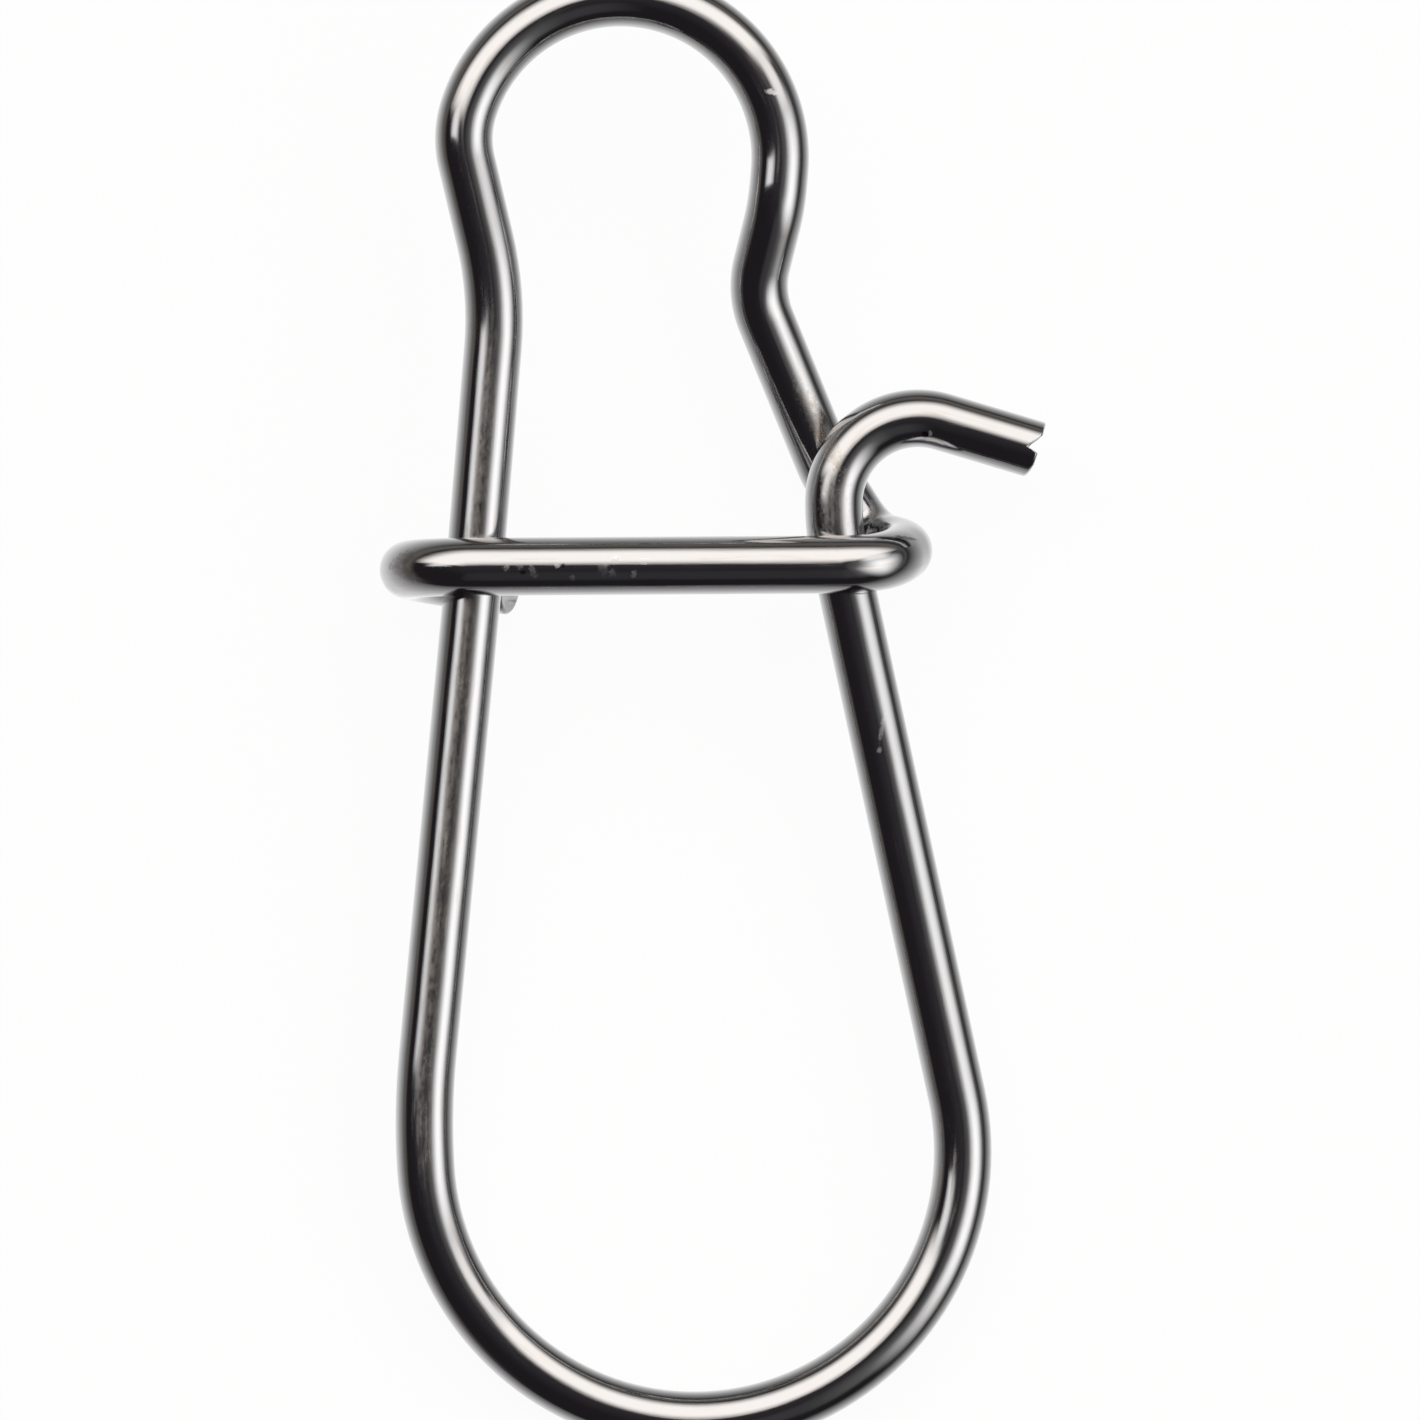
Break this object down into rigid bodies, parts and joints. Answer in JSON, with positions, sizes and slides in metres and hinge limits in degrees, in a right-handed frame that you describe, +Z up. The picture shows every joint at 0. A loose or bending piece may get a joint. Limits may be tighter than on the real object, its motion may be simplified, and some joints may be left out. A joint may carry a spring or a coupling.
{
  "type": "fishing snap",
  "caption": "Latched wire snap that joins a fishing line to a lure: a line eye at one end, a wide bow at the other, and a hooked free end held by a cross bar.",
  "frame": {"origin": "middle of the underside: the surface that the snap lies on, under the centre of its outline", "axes": "+Z up through the loops, which lie almost flat with the cross bar on top; +Y along the snap from the lure bow to the line eye; +X to the side that the hooked tip points to"},
  "size_m": [0.0104, 0.023, 0.0028],
  "materials": {
    "polished_wire": "polished black nickel on spring steel wire"
  },
  "bodies": {
    "root": {"snap_wire": "polished_wire"}
  },
  "joints": []
}
